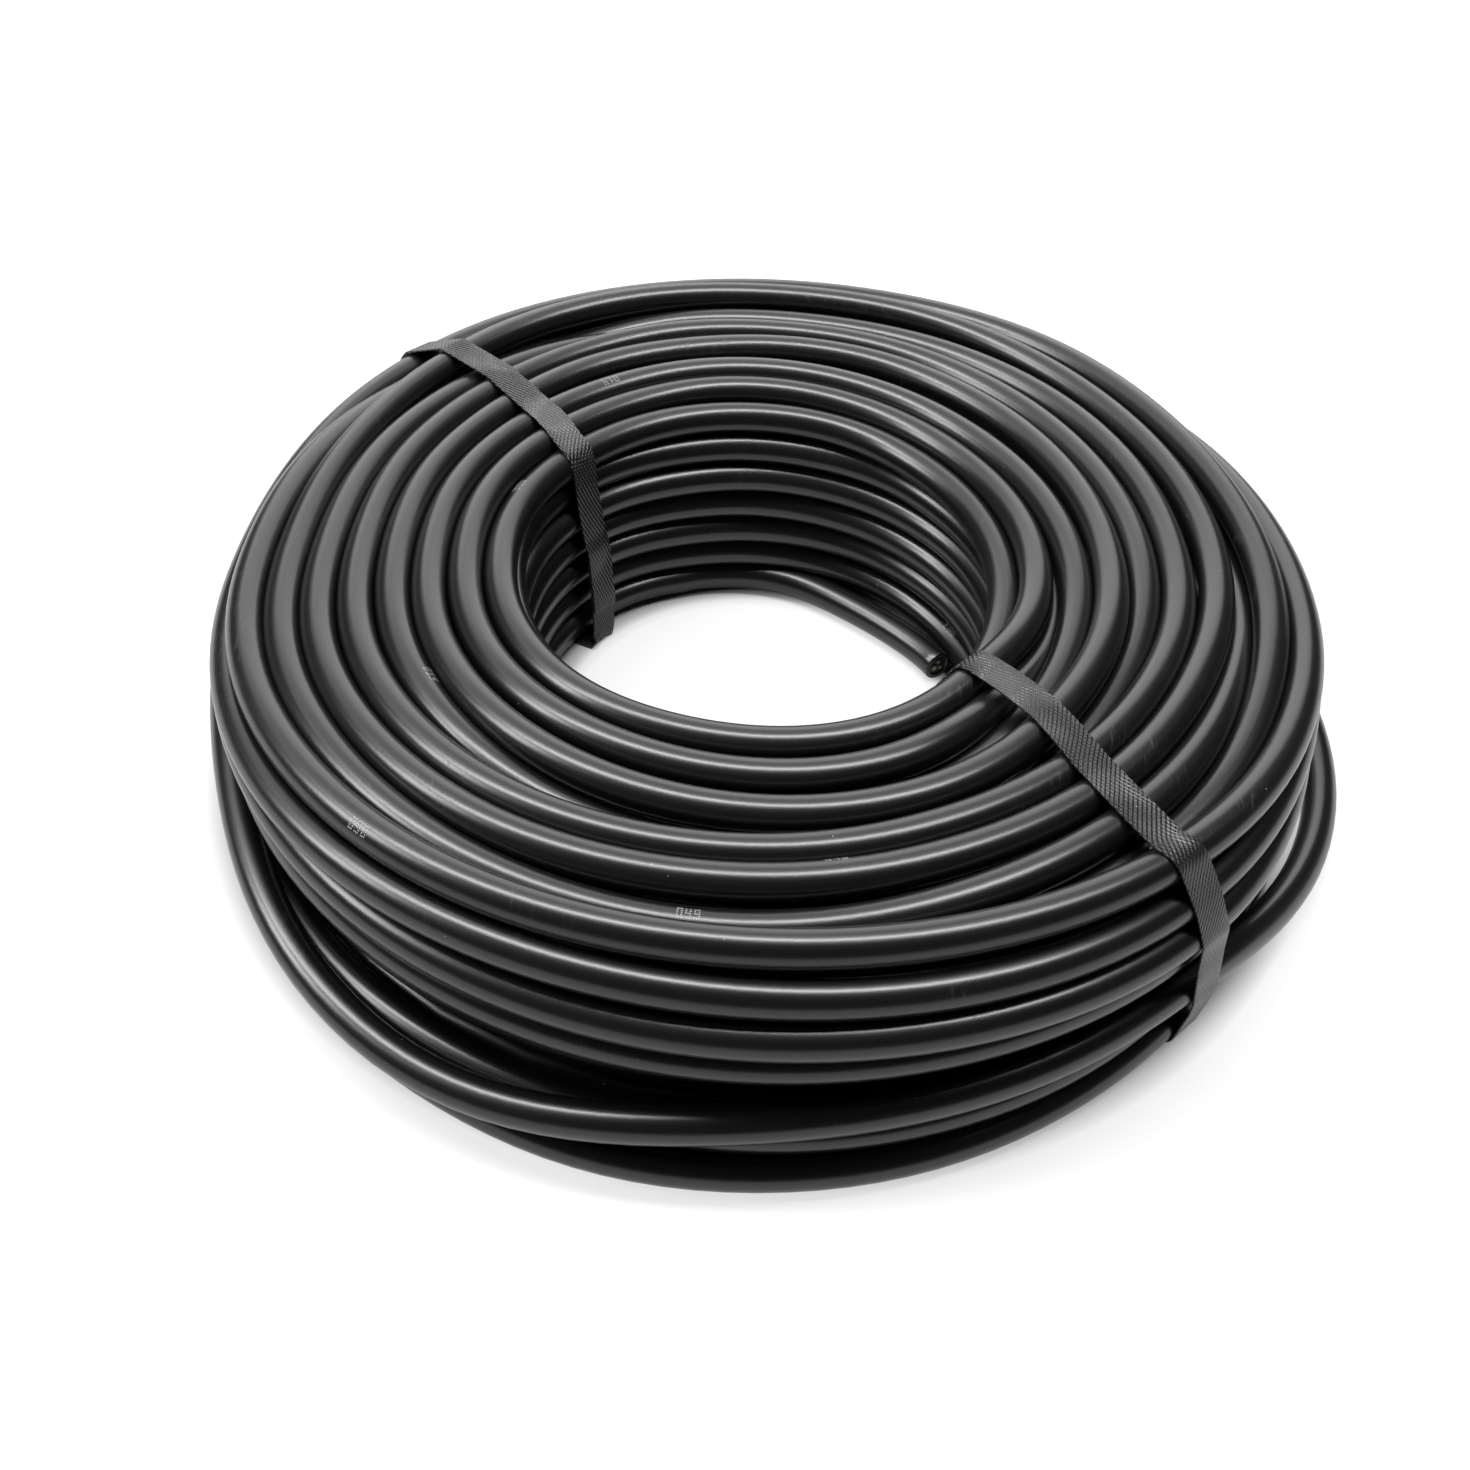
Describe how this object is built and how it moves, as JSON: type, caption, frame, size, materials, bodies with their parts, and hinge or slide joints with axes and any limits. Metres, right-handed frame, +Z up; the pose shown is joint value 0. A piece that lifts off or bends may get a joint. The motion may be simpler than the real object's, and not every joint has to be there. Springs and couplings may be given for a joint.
{
  "type": "coil of electrical cable",
  "caption": "Coil of round black three-core power cable lying flat, wound as a ring with an open bore and held by two narrow plastic straps, with the inner end loose in the bore.",
  "frame": {"origin": "on the floor, on the coil's axis, under the middle of the bore", "axes": "+Z up along the coil's axis, -Y towards the side seen nearest in the picture, +X to its right"},
  "size_m": [0.4075, 0.4078, 0.0896],
  "materials": {
    "sheath_black": "satin black PVC",
    "sheath_black_end": "satin black PVC",
    "strap_black_back": "satin black polypropylene with an embossed weave",
    "strap_black_front": "satin black polypropylene with an embossed weave"
  },
  "bodies": {
    "root": {"cable_coil": "sheath_black", "cable_inner_end": "sheath_black_end", "strap_back": "strap_black_back", "strap_front": "strap_black_front"}
  },
  "joints": []
}
